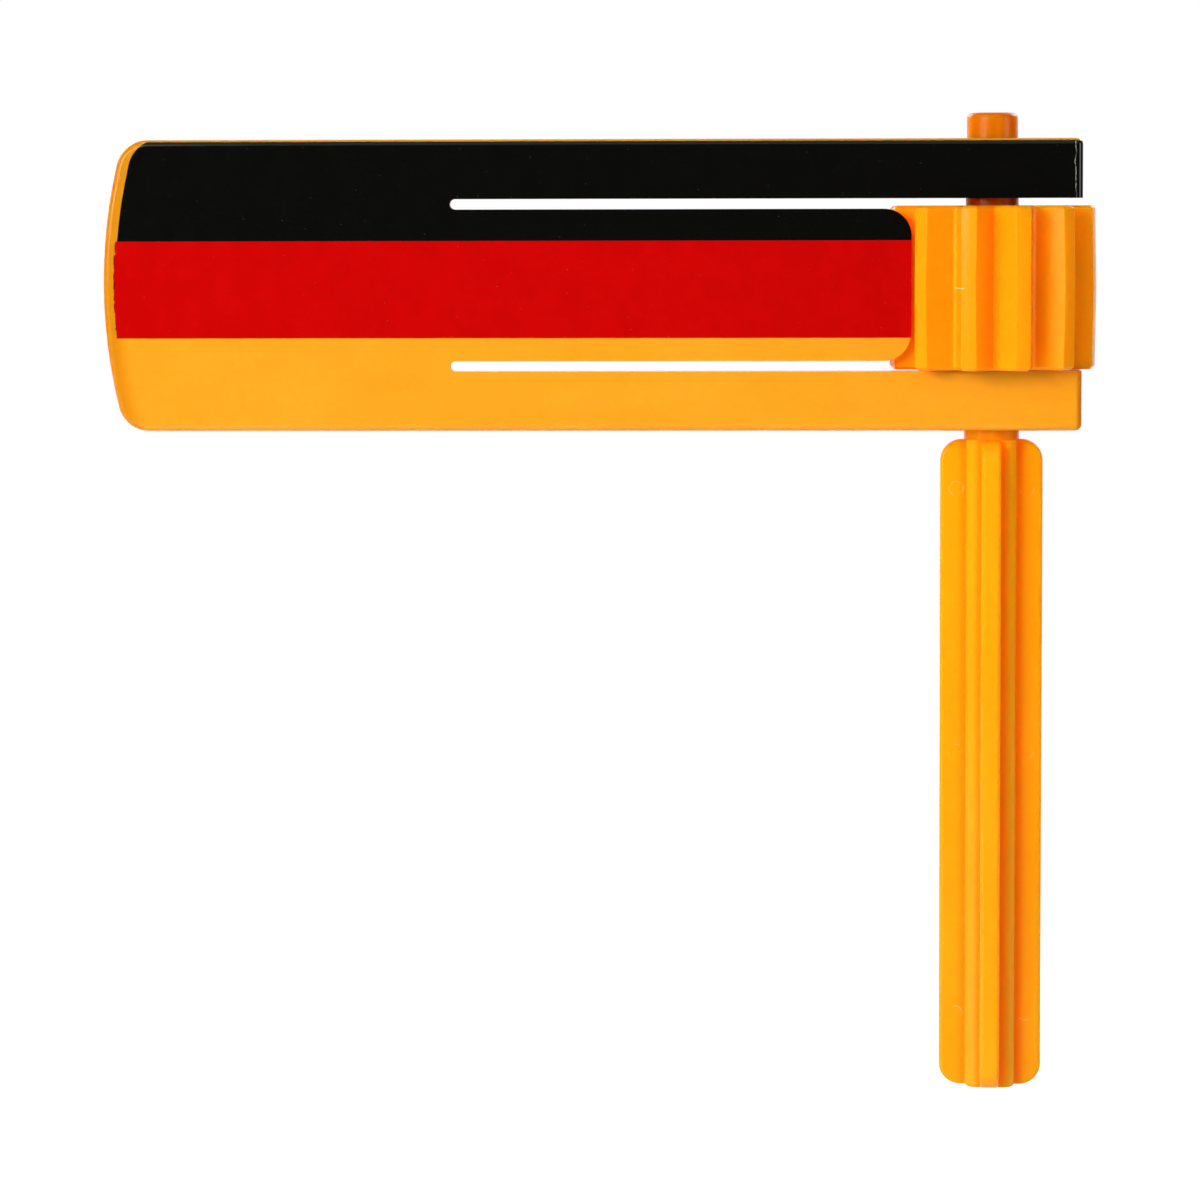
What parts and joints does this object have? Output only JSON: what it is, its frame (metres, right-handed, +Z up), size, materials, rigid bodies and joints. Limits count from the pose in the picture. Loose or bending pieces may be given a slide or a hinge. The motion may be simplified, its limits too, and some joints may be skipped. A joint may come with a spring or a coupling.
{
  "type": "gragger noisemaker",
  "caption": "Hand-held plastic ratchet rattle: a flat striped frame with a flexing tongue swings round a toothed cog on the axle of a finned handle.",
  "frame": {"origin": "middle of the handle's lower end, on the axle's line", "axes": "+Z up along the axle, from the handle to its free tip; +X along the frame towards the open ends of its arms, so the frame reaches out along -X; +Y from the striped front to the open back"},
  "size_m": [0.197, 0.041, 0.1945],
  "materials": {
    "frame_plastic": "satin moulded",
    "cog_plastic": "satin moulded",
    "handle_plastic": "satin moulded",
    "black_ink": "printed ink",
    "red_ink": "printed ink"
  },
  "bodies": {
    "handle": {"handle": "handle_plastic", "cog_wheel": "cog_plastic"},
    "frame": {"frame": "frame_plastic", "black_stripe": "black_ink", "red_stripe": "red_ink"},
    "tongue": {"tongue": "frame_plastic", "tongue_black_stripe": "black_ink", "tongue_red_stripe": "red_ink"}
  },
  "joints": [
    {"name": "frame_spin", "type": "hinge", "parent": "handle", "child": "frame", "pos_m": [0, 0, 0.1606], "axis": [0, 0, 1], "continuous": true},
    {"name": "tongue_flex", "type": "hinge", "parent": "frame", "child": "tongue", "pos_m": [-0.10535, -0.00997, 0.1606], "axis": [0, 0, -1], "range_deg": [0, 3.6], "stiffness_Nm_per_rad": 1.3}
  ]
}
